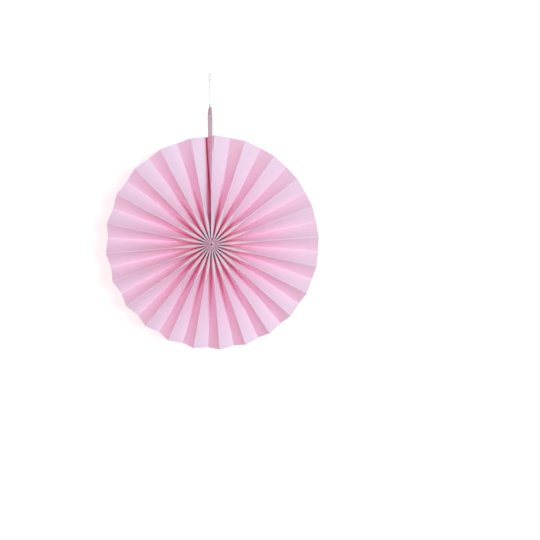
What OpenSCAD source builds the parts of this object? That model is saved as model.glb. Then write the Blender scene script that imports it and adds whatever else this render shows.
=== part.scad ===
// Paper fan rosette: a pleated paper strip opened into a full disc. Its two end panels are glued
// to end cards, which are stuck face to face at the seam and run on past the rim as a hanging tab.
// The axis of the disc is Y, the front faces -Y, and the seam runs from the centre up +Z.

/* [Pleated paper] */
// Diameter of the open disc over its ridge tips
fan_d = 300; // [260:1:305]
// Number of pleats, each with one ridge and one valley
pleats = 23; // [18:1:28]
// Depth that the pleats keep at the rim, where they open widest
rim_depth = 10; // [8:0.5:16]
// Thickness of the paper
paper_t = 0.15; // [0.1:0.01:0.2]
// Hole that the gathered inner edges leave at the centre
hub_hole_d = 3.6; // [3.2:0.1:6]
// Most that a fold is pulled away from even spacing towards the bottom of the disc, in degrees
opening_swing = 5.5; // [0:0.5:7]

/* [Seam] */
// Turn of the seam at the rim, in degrees
seam_twist = 20; // [5:1:30]
// Thickness of one end card
card_t = 0.5; // [0.3:0.05:0.8]
// Margin of the cards inside the edges of the end panels
card_margin = 0.5; // [0.3:0.1:2]
// Distance from the axis at which the cards start
card_start = 9; // [8:0.5:20]
// Thickness of the adhesive strip between the cards
adhesive_t = 0.1; // [0.05:0.01:0.2]
// Margin of the adhesive strip inside the edges of the cards
adhesive_margin = 0.5; // [0.3:0.1:2]
// Height above the rim at which the adhesive strip ends
adhesive_rise = 16; // [5:1:20]
// Clearance between one stuck layer and the next
layer_gap = 0.02; // [0.01:0.01:0.05]

/* [Tab] */
// Height of the tab above the rim
tab_h = 40; // [36:1:60]
// Diameter of the thread hole in the tab
tab_hole_d = 4.5; // [4:0.1:6]

/* [Threads] */
// Diameter of the thread that binds the inner edges
binding_d = 0.5; // [0.3:0.05:0.7]
// Radius of the ring in which the binding thread runs
binding_r = 5; // [4.5:0.1:6]
// Clearance round the binding thread in its stitch holes
stitch_clearance = 0.15; // [0.1:0.01:0.2]
// Diameter of the hanging thread
hanging_d = 0.6; // [0.4:0.05:0.6]
// Diameter of the two knots in the hanging thread
knot_d = 1.8; // [1.6:0.1:2.2]

/* [Hidden] */
$fn = 64;

rim_r = fan_d / 2;
// Creases are numbered clockwise from the seam, odd ones are ridges. Lines 0 and last_line are free edges.
creases = 2 * round(pleats);
last_line = creases + 1;
// Width of one panel between two creases: the widest opening at the rim and the depth that is left there
rim_chord = 2 * rim_r * sin(180 * widening(0) / (creases - 1));
panel_w = sqrt(pow(rim_chord, 2) + pow(rim_depth, 2));
// Distance of the end panels' middle and of the cards' two faces from the plane of the seam
card_in = adhesive_t / 2 + layer_gap;
card_out = card_in + card_t;
panel_off = card_out + layer_gap + paper_t / 2;
card_w = panel_w - 2 * card_margin;
adhesive_w = card_w - 2 * adhesive_margin;
// The tab ends in a half circle, round the same centre as its hole
hole_z = rim_r + tab_h - card_w / 2;
stitch_hole = binding_d + 2 * stitch_clearance;

// Radii at which the folds are worked out: the hub, two beside the stitch holes, and then wider and
// wider steps from the cards' inner ends to the rim
hub_z = sqrt(pow(hub_hole_d / 2, 2) - pow(panel_off, 2));
stitch_ring = 1;
steps = 18;
step_power = 1.4;
radii = concat([hub_z, binding_r - 1, binding_r + 1],
    [for (i = [0 : steps]) card_start + (rim_r - card_start) * pow(i / steps, step_power)]);
last_ring = len(radii) - 1;

// Route of the hanging thread: to the right of the tab, towards the front, and up from the hole's centre.
// It starts in the lower knot, goes through the hole and over the tab's end, up, and round the eye.
thread_route = [
    [0.35, 0, 15], [0.95, 0, 12.8], [1.3, 0, 10], [1.4, 0, 6], [1.4, 0, 3.05], [1.2, 0, 2.35],
    [0.7, 0, 1.85], [0, 0, 1.65], [-0.7, 0, 1.85], [-1.2, 0, 2.35], [-1.4, 0, 3.05], [-1.4, 0, 6],
    [-1.3, 0, 10], [-0.95, 0, 12.8], [-0.35, 0, 15], [-0.1, 0, 17], [0, 0, 20], [0, 0, 27], [0, 0, 34],
    [0, 0, 41], [0, 0, 48], [-0.6, 0, 50], [-1.5, 0, 52.4], [-1.8, 0, 55], [-1.2, 0, 57.1], [0, 0, 58],
    [1.2, 0, 57.1], [1.8, 0, 55], [1.5, 0.1, 52.4], [0.9, 0.4, 50.2], [0.45, 0.5, 48]];
lower_knot_z = 15.4;
upper_knot_z = 48.4;
thread_sides = 8;

function unit(v) = v / norm(v);

// Turn of the seam at a height on it: it grows evenly from the axis to the rim, and the tab is flat
function turn(z) = seam_twist * min(z, rim_r) / rim_r;

// A point by its height on the seam, its place across the seam towards the front, and its distance
// to the right of the seam's plane
function seam_point(z, across, off) =
    let (a = turn(z))
    [across * sin(a) + off * cos(a), off * sin(a) - across * cos(a), z];

// Angle from the seam to the first ridge, and what is left of the circle for the open panels
function seam_angle(z) = atan2(seam_point(z, panel_w / 2, panel_off).x, z);
function open_angle(z) = 360 - 2 * seam_angle(z);

// Share of the open angle at a share v of the creases, and how much wider than even it opens there
function opened(v) = v + opening_swing * sin(360 * v) / 360;
function widening(v) = 1 + opening_swing * cos(360 * v) * PI / 180;

// Depth of the pleats, which leaves every panel its full width however far it opens
function chord(r, v, open) = 2 * r * sin(open * widening(v) / (creases - 1) / 2);
function depth(r, v, open) = sqrt(pow(panel_w, 2) - pow(chord(r, v, open), 2));

// A point of crease j. The disc climbs evenly from the seam's front edge round to its back edge.
function crease_point(z, j) =
    let (v = (j - 1) / (creases - 1), open = open_angle(z), r = z / cos(seam_angle(z)))
    let (a = seam_angle(z) + open * opened(v), d = depth(r, v, open))
    let (edge = -seam_point(z, panel_w / 2, panel_off).y, middle = (edge - d / 2) * (2 * v - 1))
    [r * sin(a), middle + (j % 2 == 1 ? -d / 2 : d / 2), r * cos(a)];

function line_point(z, j) =
    j == 0 ? seam_point(z, -panel_w / 2, panel_off)
    : j == last_line ? seam_point(z, panel_w / 2, -panel_off)
    : crease_point(z, j);

// Inside of a fold, where two faces of the paper meet
function fold_inside(z, j) =
    let (p = line_point(z, j), a = unit(line_point(z, j - 1) - p), b = unit(line_point(z, j + 1) - p))
    p + unit(a + b) * paper_t / norm(a - b);

// Outside of a fold, at the end of the panel on one side of it
function fold_outside(z, j, side) =
    let (p = line_point(z, j), a = unit(line_point(z, j + side) - p), b = unit(line_point(z, j - side) - p))
    p + unit((a * b) * a - b) * paper_t / 2;

function fold_points(z, j, face) =
    (j % 2 == 1) == (face < 0)
        ? [fold_outside(z, j, -1), fold_outside(z, j, 1)]
        : [fold_inside(z, j)];

// One face of the paper at one radius, -1 for the front and 1 for the back, from free edge to free edge
function face_points(z, face) = concat(
    [seam_point(z, -panel_w / 2, panel_off + face * paper_t / 2)],
    [for (j = [1 : creases]) each fold_points(z, j, face)],
    [seam_point(z, panel_w / 2, -panel_off + face * paper_t / 2)]);

face_len = 3 * creases / 2 + 2;
ring_len = 2 * face_len;

// Places in a face's points of the first and last point that belong to line j
function first_at(j, face) = j == 0 ? 0 : j + floor((face < 0 ? j : j - 1) / 2);
function last_at(j, face) =
    first_at(j, face) + (j > 0 && j < last_line && (j % 2 == 1) == (face < 0) ? 1 : 0);

// Number of a vertex of the paper by ring, face and place
function at(ring, face, k) = ring * ring_len + (face < 0 ? 0 : face_len) + k;

function flipped(faces) = [for (f = faces) [f[2], f[1], f[0]]];
function quad(a, b, c, d) = [[a, b, c], [a, c, d]];

// Corners of a panel between the two rings of the stitch holes
function panel_corners(j, face) =
    let (a = last_at(j, face), b = first_at(j + 1, face))
    [at(stitch_ring, face, a), at(stitch_ring, face, b),
        at(stitch_ring + 1, face, b), at(stitch_ring + 1, face, a)];

// Corners of the stitch hole in a panel, each one nearest to the panel corner of the same number
function hole_corners(points, j, face) =
    let (c = [for (i = panel_corners(j, face)) points[i]])
    let (s = sign(c[1].y - c[0].y), half = stitch_hole / 2)
    [for (corner = [[-1, -1], [1, -1], [1, 1], [-1, 1]])
        let (y = corner[0] * s * half, u = (corner[1] * half + 1) / 2)
        let (low = mix_at_y(c[0], c[1], y), high = mix_at_y(c[3], c[2], y))
        low + (high - low) * u];
function mix_at_y(a, b, y) = a + (b - a) * (y - a.y) / (b.y - a.y);

module pleated_paper() {
    rings = [for (z = radii) each concat(face_points(z, -1), face_points(z, 1))];
    panels = [0 : creases];
    holes = [for (j = panels) each concat(hole_corners(rings, j, -1), hole_corners(rings, j, 1))];
    first_hole = len(rings);

    // Both faces of the paper, apart from the panels round the stitch holes
    function strip(face) = [
        for (i = [0 : last_ring - 1], k = [0 : face_len - 2])
            if (i != stitch_ring || !is_panel(k, face))
                each quad(at(i, face, k), at(i, face, k + 1), at(i + 1, face, k + 1), at(i + 1, face, k))];
    function is_panel(k, face) = len([for (j = panels) if (last_at(j, face) == k) j]) > 0;

    // The panels round the stitch holes, and the holes' own walls
    function hole_at(j, face) = first_hole + j * 8 + (face < 0 ? 0 : 4);
    function pierced(face) = [
        for (j = panels, e = [0 : 3])
            let (c = panel_corners(j, face), h = hole_at(j, face), n = (e + 1) % 4)
            each quad(c[e], c[n], h + n, h + e)];
    hole_walls = [
        for (j = panels, e = [0 : 3])
            let (f = hole_at(j, -1), b = hole_at(j, 1), n = (e + 1) % 4)
            each quad(b + e, b + n, f + n, f + e)];

    // The inner edge or the rim: the ends of the panels, and the ends of the folds
    function edge(ring) = concat(
        [for (j = panels)
            each quad(at(ring, -1, last_at(j, -1)), at(ring, 1, last_at(j, 1)),
                at(ring, 1, first_at(j + 1, 1)), at(ring, -1, first_at(j + 1, -1)))],
        [for (j = [1 : creases])
            j % 2 == 1
                ? [at(ring, -1, first_at(j, -1)), at(ring, 1, first_at(j, 1)), at(ring, -1, last_at(j, -1))]
                : [at(ring, -1, first_at(j, -1)), at(ring, 1, first_at(j, 1)), at(ring, 1, last_at(j, 1))]]);

    // The two free edges, which lie on the cards
    function free_edge(k) = [
        for (i = [0 : last_ring - 1])
            each quad(at(i, -1, k), at(i + 1, -1, k), at(i + 1, 1, k), at(i, 1, k))];

    color([0.93, 0.75, 0.86])
        polyhedron(
            concat(rings, holes),
            concat(strip(1), pierced(1), flipped(strip(-1)), flipped(pierced(-1)), hole_walls,
                edge(last_ring), flipped(edge(0)), free_edge(face_len - 1), flipped(free_edge(0))),
            convexity = 20);
}

// A layer of the seam: a strip between two distances from the seam's plane, which turns with the seam
module seam_layer(low_z, high_z, w, off_a, off_b) {
    heights = concat([low_z], [for (z = radii) if (z > low_z && z < high_z) z], [high_z]);
    corners = [[-w / 2, off_a], [w / 2, off_a], [w / 2, off_b], [-w / 2, off_b]];
    last = len(heights) - 1;
    points = [for (z = heights, c = corners) seam_point(z, c[0], c[1])];
    // Both faces are split along the same diagonal as the end panels, so that the layers lie flat on them
    one_face = [
        for (i = [0 : last - 1], k = [0, 1])
            each quad(4 * i + k, 4 * i + k + 4, 4 * i + k + 5, 4 * i + k + 1)];
    other_face = [
        for (i = [0 : last - 1], k = [2, 3])
            let (n = (k + 1) % 4)
            each quad(4 * i + n, 4 * i + k, 4 * i + k + 4, 4 * i + n + 4)];
    ends = concat(quad(0, 1, 2, 3), flipped(quad(4 * last, 4 * last + 1, 4 * last + 2, 4 * last + 3)));
    polyhedron(points, concat(one_face, other_face, ends), convexity = 4);
}

// Room that a card's outline leaves: everything up to the round end of the tab
module tab_outline() {
    reach = 2 * panel_w;
    rotate([0, 0, seam_twist]) {
        translate([-reach, -reach, 0])
            cube([2 * reach, 2 * reach, hole_z]);
        translate([-reach, 0, hole_z])
            rotate([0, 90, 0])
                cylinder(d = card_w, h = 2 * reach);
    }
}

module tab_hole() {
    rotate([0, 0, seam_twist])
        translate([-panel_w / 2, 0, hole_z])
            rotate([0, 90, 0])
                cylinder(d = tab_hole_d, h = panel_w);
}

module end_card(off_a, off_b) {
    color([0.90, 0.80, 0.85])
        difference() {
            intersection() {
                seam_layer(card_start, rim_r + tab_h, card_w, off_a, off_b);
                tab_outline();
            }
            tab_hole();
        }
}

module left_end_card() {
    end_card(-card_out, -card_in);
}

module right_end_card() {
    end_card(card_in, card_out);
}

module adhesive_strip() {
    color([0.95, 0.93, 0.90])
        seam_layer(card_start, rim_r + adhesive_rise, adhesive_w, -adhesive_t / 2, adhesive_t / 2);
}

// The thread ring that holds the inner edges of the panels together
module binding_thread() {
    color([0.93, 0.90, 0.88])
        rotate([90, 0, 0])
            rotate_extrude()
                translate([binding_r, 0])
                    circle(d = binding_d);
}

// A tube along a route, with one ring of points at each point of the route
module thread_tube(route, d) {
    last = len(route) - 1;
    points = [
        for (i = [0 : last])
            let (t = unit(route[min(i + 1, last)] - route[max(i - 1, 0)]))
            let (n = unit([0, 1, 0] - t.y * t), b = cross(t, n))
            for (s = [0 : thread_sides - 1])
                let (a = 360 * s / thread_sides)
                route[i] + (cos(a) * n + sin(a) * b) * d / 2];
    walls = [
        for (i = [0 : last - 1], s = [0 : thread_sides - 1])
            let (n = (s + 1) % thread_sides, low = i * thread_sides, high = low + thread_sides)
            each quad(low + s, high + s, high + n, low + n)];
    start = [for (s = [0 : thread_sides - 1]) s];
    finish = [for (s = [thread_sides - 1 : -1 : 0]) last * thread_sides + s];
    polyhedron(points, concat(walls, [start, finish]), convexity = 6);
}

module hanging_thread() {
    color([0.86, 0.76, 0.78])
        rotate([0, 0, seam_twist]) {
            thread_tube([for (p = thread_route) [p[0], -p[1], hole_z + p[2]]], hanging_d);
            for (z = [lower_knot_z, upper_knot_z])
                translate([0, 0, hole_z + z])
                    sphere(d = knot_d);
        }
}

pleated_paper();
left_end_card();
right_end_card();
adhesive_strip();
binding_thread();
hanging_thread();
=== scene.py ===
"""Looks of a hanging pleated paper fan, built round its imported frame."""
import math
from collections import Counter

import bmesh
import bpy
from bpy.props import FloatProperty, FloatVectorProperty, IntProperty, PointerProperty
from mathutils import Matrix, Vector


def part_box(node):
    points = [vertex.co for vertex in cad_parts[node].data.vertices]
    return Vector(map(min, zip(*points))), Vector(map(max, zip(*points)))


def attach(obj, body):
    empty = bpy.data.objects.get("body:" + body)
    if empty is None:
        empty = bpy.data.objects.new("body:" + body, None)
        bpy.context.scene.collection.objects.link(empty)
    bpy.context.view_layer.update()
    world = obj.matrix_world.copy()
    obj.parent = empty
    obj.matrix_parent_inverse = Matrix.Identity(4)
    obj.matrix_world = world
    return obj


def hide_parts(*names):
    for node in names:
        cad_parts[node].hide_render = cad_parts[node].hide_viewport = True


bl_info = {
    "name": "Paper Fan Rosette",
    "version": (1, 0, 0),
    "blender": (4, 5, 0),
    "location": "View3D > Sidebar > Paper Fan",
    "description": "Builds a pleated paper fan with its end cards, threads, stage and light",
    "category": "Object",
}

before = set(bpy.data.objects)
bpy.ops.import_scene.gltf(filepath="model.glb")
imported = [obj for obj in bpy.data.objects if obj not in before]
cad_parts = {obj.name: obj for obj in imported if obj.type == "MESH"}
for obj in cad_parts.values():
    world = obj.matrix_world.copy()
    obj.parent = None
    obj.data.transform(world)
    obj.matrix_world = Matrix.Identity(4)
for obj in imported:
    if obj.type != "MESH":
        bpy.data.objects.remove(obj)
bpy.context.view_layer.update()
PAPER_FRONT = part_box("pleated_paper")[0][1]

MM = 0.001
IMAGE_SIDE = 540
SENSOR_MM = 36.0


def length(label, about, value):
    """A length in metres as an add-on property."""
    return FloatProperty(name=label, description=about, default=value, unit="LENGTH", precision=5)


def angle(label, about, degrees):
    """An angle, given in degrees, as an add-on property."""
    return FloatProperty(name=label, description=about, default=math.radians(degrees), subtype="ANGLE")


def power(label, about, watts):
    """The power of a lamp as an add-on property."""
    return FloatProperty(name=label, description=about, default=watts, unit="POWER")


def number(label, about, value):
    """A plain number as an add-on property."""
    return FloatProperty(name=label, description=about, default=value, precision=4)


def colour(label, about, value):
    """A linear colour as an add-on property."""
    return FloatVectorProperty(
        name=label, description=about, default=value, size=3, subtype="COLOR", min=0.0, max=1.0)


class PleatSettings(bpy.types.PropertyGroup):
    """Sizes and colours of the pleated paper."""

    rim_radius: length("Rim radius", "Radius of the disc over its ridge tips", 150 * MM)
    pleats: IntProperty(name="Pleats", description="Number of ridges round the disc", default=23)
    rim_depth: length("Rim depth", "Depth that the pleats keep at the rim", 10 * MM)
    thickness: length("Thickness", "Thickness of the paper", 0.15 * MM)
    hub_hole: length("Hub hole", "Hole that the gathered inner edges leave", 3.6 * MM)
    opening_swing: angle("Opening swing", "Most that a fold is pulled towards the bottom", 5.5)
    seam_twist: angle("Seam twist", "Turn of the seam at the rim", 20.0)
    bulge: length("Fold bulge", "Half the width of the loop that the paper makes at a fold", 2.0 * MM)
    bow: length("Panel bow", "Most that a panel bends out of its plane", 0.5 * MM)
    glow: colour("Glow", "Colour of the light that has passed through the paper", (1.0, 0.60, 0.76))
    translucency: number("Translucency", "Share of the light that each face of the paper lets through", 0.25)
    paper: colour("Paper", "Colour of the dyed paper", (0.98, 0.76, 0.87))
    # Painted shade: the dark red that the deep folds at the hub take, standing in for the light lost between the
    # panels
    painted_fold_shade: colour("Deep fold", "Colour that the dye reaches in the deep folds at the hub", (1.0, 0.09, 0.20))
    # Painted shade: the near-black red of the narrowest folds and of the gutter slit beside the seam
    narrowest_shade: colour("Narrow fold", "Colour of the paper in the narrowest folds", (0.42, 0.06, 0.19))
    worn_fold: colour("Worn fold", "Colour of the paper where a fold has rubbed", (0.93, 0.66, 0.80))
    # Painted shade: the packed folds round the hub are darkened where their ridges shade each other
    packed_hub_shade: colour("Packed paper", "Colour of the packed folds round the hub", (0.95, 0.46, 0.60))
    # Painted highlight: the inner ends at the hub are made paler, for the bright ring they show
    hub_ring_highlight: colour("Hub ring", "Colour of the rubbed inner ends at the hub", (1.0, 0.80, 0.88))


class CardSettings(bpy.types.PropertyGroup):
    """Sizes and colours of the end cards and the adhesive between them."""

    thickness: length("Card thickness", "Thickness of one end card", 0.5 * MM)
    margin: length("Card margin", "Margin of the cards inside the end panels", 0.5 * MM)
    start: length("Card start", "Distance from the axis at which the cards start", 9 * MM)
    tab_height: length("Tab height", "Height of the tab above the rim", 40 * MM)
    hole: length("Tab hole", "Hole for the hanging thread", 4.5 * MM)
    edge_bevel: length("Edge bevel", "Softening of the cut edges", 0.06 * MM)
    adhesive: length("Adhesive", "Thickness of the adhesive strip", 0.1 * MM)
    adhesive_margin: length("Adhesive margin", "Margin of the adhesive inside the cards", 0.5 * MM)
    adhesive_rise: length("Adhesive rise", "Height of the adhesive above the rim", 16 * MM)
    layer_gap: length("Layer gap", "Clearance between stuck layers", 0.02 * MM)
    face: colour("Card face", "Colour of the card's printed faces", (0.94, 0.90, 0.92))
    core: colour("Card core", "Colour of the card's cut edges", (0.98, 0.80, 0.70))
    # Painted shade: the cut edges just below the rim are darkened pink for the narrow gap at the seam
    painted_shade: colour("Stain", "Colour of the dye in the cut edges just below the rim", (0.82, 0.34, 0.48))
    tape: colour("Tape", "Colour of the adhesive strip", (0.86, 0.82, 0.74))


class ThreadSettings(bpy.types.PropertyGroup):
    """Sizes and colours of the two threads."""

    hanging: length("Hanging thread", "Diameter of the hanging thread", 0.6 * MM)
    binding: length("Binding thread", "Diameter of the thread that binds the hub", 0.5 * MM)
    binding_radius: length("Binding ring", "Radius of the ring of the binding thread", 5 * MM)
    knot: length("Knot", "Width of a knot in the hanging thread", 1.8 * MM)
    lay: length("Lay length", "Length of one turn of the twisted plies", 1.6 * MM)
    cotton: colour("Hanging cotton", "Colour of the hanging thread", (0.68, 0.40, 0.39))
    # Painted shade: the thread's strands round the tab are darkened for the shade that falls between them
    shaded_tied_cotton: colour("Tied cotton", "Colour of the hanging thread where it is tied to the tab", (0.24, 0.12, 0.15))
    binding_cotton: colour("Binding cotton", "Colour of the binding thread", (0.80, 0.74, 0.70))


class StageSettings(bpy.types.PropertyGroup):
    """View, backdrop and light."""

    distance: length("Camera distance", "Distance of the camera from the fan's centre", 0.85)
    azimuth: angle("Azimuth", "Camera's turn to the right of the fan's axis", 5.5)
    elevation: angle("Elevation", "Camera's height above the fan's axis", 2.5)
    roll: angle("Roll", "Camera's lean", -0.85)
    rim_pixels: number("Rim pixels", "Radius of the rim in the picture, in pixels", 105.6)
    hub_x: number("Hub x", "Pixel column of the hub", 211.4)
    hub_y: number("Hub y", "Pixel row of the hub", 244.5)
    wall: length("Wall", "Distance of the backdrop behind the fan's centre", 0.055)
    floor: length("Floor", "Height of the floor", -0.62)
    key_power: power("Key power", "Power of the key light", 61.0)
    key_azimuth: angle("Key azimuth", "Turn of the key light to the right of the fan's axis", 32.0)
    key_tint: colour("Key tint", "Colour of the key light", (0.41, 1.0, 0.92))
    side_power: power("Side power", "Power of the side light", 8.0)
    side_azimuth: angle("Side azimuth", "Turn of the side light to the right of the fan's axis", -55.0)
    side_tint: colour("Side tint", "Colour of the side light", (1.0, 0.82, 0.90))
    rear_power: power("Rear power", "Power of the rear light", 28.0)
    rear_azimuth: angle("Rear azimuth", "Turn of the rear light to the right of the fan's axis", 148.0)
    rear_tint: colour("Rear tint", "Colour of the rear light", (1.0, 0.95, 0.98))
    lamp_width: length("Lamp width", "Width of each lamp", 0.9)
    lamp_height: length("Lamp height", "Height of each lamp", 0.3)
    lamp_elevation: angle("Lamp elevation", "Height of each lamp above the fan's axis", 4.0)
    lamp_distance: length("Lamp distance", "Distance of each lamp", 2.8)
    fill: number("Fill", "Strength of the light from all round", 1.05)
    fill_tint: colour("Fill tint", "Colour of the light from all round", (0.95, 0.61, 0.76))
    backdrop: colour("Backdrop", "Colour of the floor and the backdrop", (0.44, 0.38, 0.37))


class FanSettings(bpy.types.PropertyGroup):
    """All settings of the paper fan."""

    pleat: PointerProperty(type=PleatSettings)
    card: PointerProperty(type=CardSettings)
    thread: PointerProperty(type=ThreadSettings)
    stage: PointerProperty(type=StageSettings)


def forward(operation):
    """An operator with the wire in first place."""
    return lambda wire, other: wire.bench.maths(operation, wire, other)


def reflected(operation):
    """An operator with the wire in second place."""
    return lambda wire, other: wire.bench.maths(operation, other, wire)


class Wire:
    """A socket for Python expressions on values: each operator adds a Math node."""

    def __init__(self, bench, socket):
        self.bench = bench
        self.socket = socket

    def out(self, key):
        """Another output of the same node."""
        return Wire(self.bench, self.socket.node.outputs[key])

    __add__, __radd__ = forward("ADD"), reflected("ADD")
    __sub__, __rsub__ = forward("SUBTRACT"), reflected("SUBTRACT")
    __mul__, __rmul__ = forward("MULTIPLY"), reflected("MULTIPLY")
    __truediv__, __rtruediv__ = forward("DIVIDE"), reflected("DIVIDE")
    __pow__, __rpow__ = forward("POWER"), reflected("POWER")
    __lt__, __gt__ = forward("LESS_THAN"), forward("GREATER_THAN")


class Bench:
    """A node tree on which nodes are laid out and wired."""

    def __init__(self, tree):
        self.tree = tree

    def node(self, kind, settings=None, values=None, output=0):
        """Adds a node, sets it up, then gives its sockets their values or links."""
        node = self.tree.nodes.new(kind)
        for key, value in (settings or {}).items():
            setattr(node, key, value)
        for key, value in (values or {}).items():
            for one in value if isinstance(value, list) else [value]:
                if isinstance(one, Wire):
                    self.tree.links.new(one.socket, node.inputs[key])
                else:
                    node.inputs[key].default_value = one
        return Wire(self, node.outputs[output]) if node.outputs else node

    def maths(self, operation, *operands):
        """A Math node on values."""
        return self.node("ShaderNodeMath", {"operation": operation}, dict(enumerate(operands)))

    def vectors(self, operation, *operands):
        """A Vector Math node."""
        return self.node("ShaderNodeVectorMath", {"operation": operation}, dict(enumerate(operands)))

    def scaled(self, vector, factor):
        """A vector times a value."""
        return self.node("ShaderNodeVectorMath", {"operation": "SCALE"}, {0: vector, "Scale": factor})

    def way(self, start, end):
        """The way from one point to another."""
        return self.vectors("SUBTRACT", end, start)

    def moved(self, point, way, share):
        """A point moved by a share of a way."""
        return self.vectors("ADD", point, self.scaled(way, share))

    def combine(self, x, y, z):
        """A vector from three values."""
        return self.node("ShaderNodeCombineXYZ", None, {0: x, 1: y, 2: z})

    def parts(self, vector):
        """The three values of a vector."""
        split = self.node("ShaderNodeSeparateXYZ", None, {0: vector})
        return split, split.out("Y"), split.out("Z")

    def place(self):
        """Coordinates of the piece itself."""
        return self.node("ShaderNodeTexCoord").out("Object")

    def mixed(self, factor, first, second):
        """A colour between two colours."""
        return self.node(
            "ShaderNodeMix", {"data_type": "RGBA"}, {0: factor, 6: rgba(first), 7: rgba(second)}, output=2)

    def between(self, value, low, high):
        """0 below low, 1 above high, smooth between them."""
        return self.node(
            "ShaderNodeMapRange", {"interpolation_type": "SMOOTHSTEP"},
            {"Value": value, "From Min": low, "From Max": high})

    def stored(self, geometry, name, value, kind="FLOAT"):
        """Keeps a value on the points of a geometry, under a name that a material can read."""
        return self.node(
            "GeometryNodeStoreNamedAttribute", {"data_type": kind, "domain": "POINT"},
            {"Geometry": geometry, "Name": name, "Value": value})

    def shown_rays(self):
        """1 for the rays that show the background: from the camera, off gloss and through clear things."""
        path = self.node("ShaderNodeLightPath")
        return self.maths(
            "MAXIMUM", path.out("Is Camera Ray"),
            self.maths("MAXIMUM", path.out("Is Glossy Ray"), path.out("Is Transmission Ray")))


def rgba(tone):
    """A colour for a socket, with alpha; a wire stays a wire."""
    return tone if isinstance(tone, Wire) else (tone[0], tone[1], tone[2], 1.0)


# Seam of the fan

def seam_point(fan, height, across, off):
    """A point by its height on the seam, its place across it towards the front, and its distance to the right."""
    turn = fan.pleat.seam_twist * min(height, fan.pleat.rim_radius) / fan.pleat.rim_radius
    return Vector((
        across * math.sin(turn) + off * math.cos(turn),
        off * math.sin(turn) - across * math.cos(turn),
        height))


def panel_width(pleat):
    """Width of a panel: the widest opening at the rim and the depth that is left there."""
    chord = 2 * pleat.rim_radius * math.sin(math.pi * (1 + pleat.opening_swing) / (2 * pleat.pleats - 1))
    return math.hypot(chord, pleat.rim_depth)


def card_inside(card):
    """Distance of a card's inner face from the plane of the seam."""
    return card.adhesive / 2 + card.layer_gap


def panel_offset(fan):
    """Distance of an end panel's middle from the plane of the seam."""
    return card_inside(fan.card) + fan.card.thickness + fan.card.layer_gap + fan.pleat.thickness / 2


def hole_height(fan):
    """Height of the hole in the tab, which shares its centre with the tab's round end."""
    card_width = panel_width(fan.pleat) - 2 * fan.card.margin
    return fan.pleat.rim_radius + fan.card.tab_height - card_width / 2


# Pleated paper as a node tree

COLUMNS_PER_PANEL = 17
HALF_COLUMNS = COLUMNS_PER_PANEL // 2
ROWS = 50
ROW_POWER = 1.4
COLUMN_POWER = 2.6
MIDDLE_SHARE = 0.484
ROUND_SHARE = 0.018
LEAST_ROUND = 0.000001
PACKED_FILL = 0.8
OPEN_FILL = 0.52
ARCH_SHARE = 1.6
ARCH_START = 0.4 * MM
FILL_RUN = (8 * MM, 14 * MM)
STITCH_REACH = 0.75 * MM
STITCH_SHIFT = 0.2 * MM
STITCH_SPAN = 0.01
JOIN_DISTANCE = 0.001 * MM
BOW_SEED_STEP = 3.7
BOW_RUN = 16.0
SEAM_PINCH = 0.1 * MM
SEAM_PINCH_RUN = (6.0 * MM, 8.9 * MM)
FRONT_LIFT = 1.3 * MM
FRONT_LIFT_RUN = (122 * MM, 150 * MM)
BACK_LIFT = 2.0 * MM
BACK_LIFT_RUN = (50 * MM, 140 * MM)
GUTTER_RUN = (45 * MM, 110 * MM)
GUTTER_PULLS = ((0.32, 0.13), (0.24, 0.30))
BULGE_RUN = (28 * MM, 62 * MM)
BULGE_LOSS = 0.85
HUB_RING_RUN = (3.4 * MM, 4.4 * MM)
HUB_RING_RISE = 0.05
DEEP_POWER = 5.0
# Weight of the painted shade added in the seam's gutter
GUTTER_SHADE_WEIGHT = 10.0
VALLEY_LOSS = 0.6

FOLD_INPUTS = ("Rim Radius", "Creases", "Panel Width", "Panel Offset", "Opening Swing", "Seam Twist")
PAPER_INPUTS = FOLD_INPUTS + ("Thickness", "Hub Height", "Fold Bulge", "Panel Bow", "Stitch Radius")


def add_inputs(tree, names, kind="NodeSocketFloat"):
    """Adds named inputs of one kind to a tree."""
    for name in names:
        tree.interface.new_socket(name=name, in_out="INPUT", socket_type=kind)


def piece_tree(name, inputs):
    """An empty tree for a piece: the tree, its bench and the node with its inputs."""
    tree = bpy.data.node_groups.new(name, "GeometryNodeTree")
    add_inputs(tree, ("Geometry",), "NodeSocketGeometry")
    add_inputs(tree, inputs)
    add_inputs(tree, ("Material",), "NodeSocketMaterial")
    tree.interface.new_socket(name="Geometry", in_out="OUTPUT", socket_type="NodeSocketGeometry")
    bench = Bench(tree)
    return tree, bench, bench.node("NodeGroupInput")


def finish_tree(bench, body, source):
    """The end of a piece's tree: smooth shading, plain geometry and the piece's material."""
    body = bench.node("GeometryNodeSetShadeSmooth", None, {"Geometry": body})
    body = bench.node("GeometryNodeRealizeInstances", None, {"Geometry": body})
    body = bench.node("GeometryNodeSetMaterial", None, {"Geometry": body, "Material": source.out("Material")})
    bench.node("NodeGroupOutput", None, {"Geometry": body})


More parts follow.
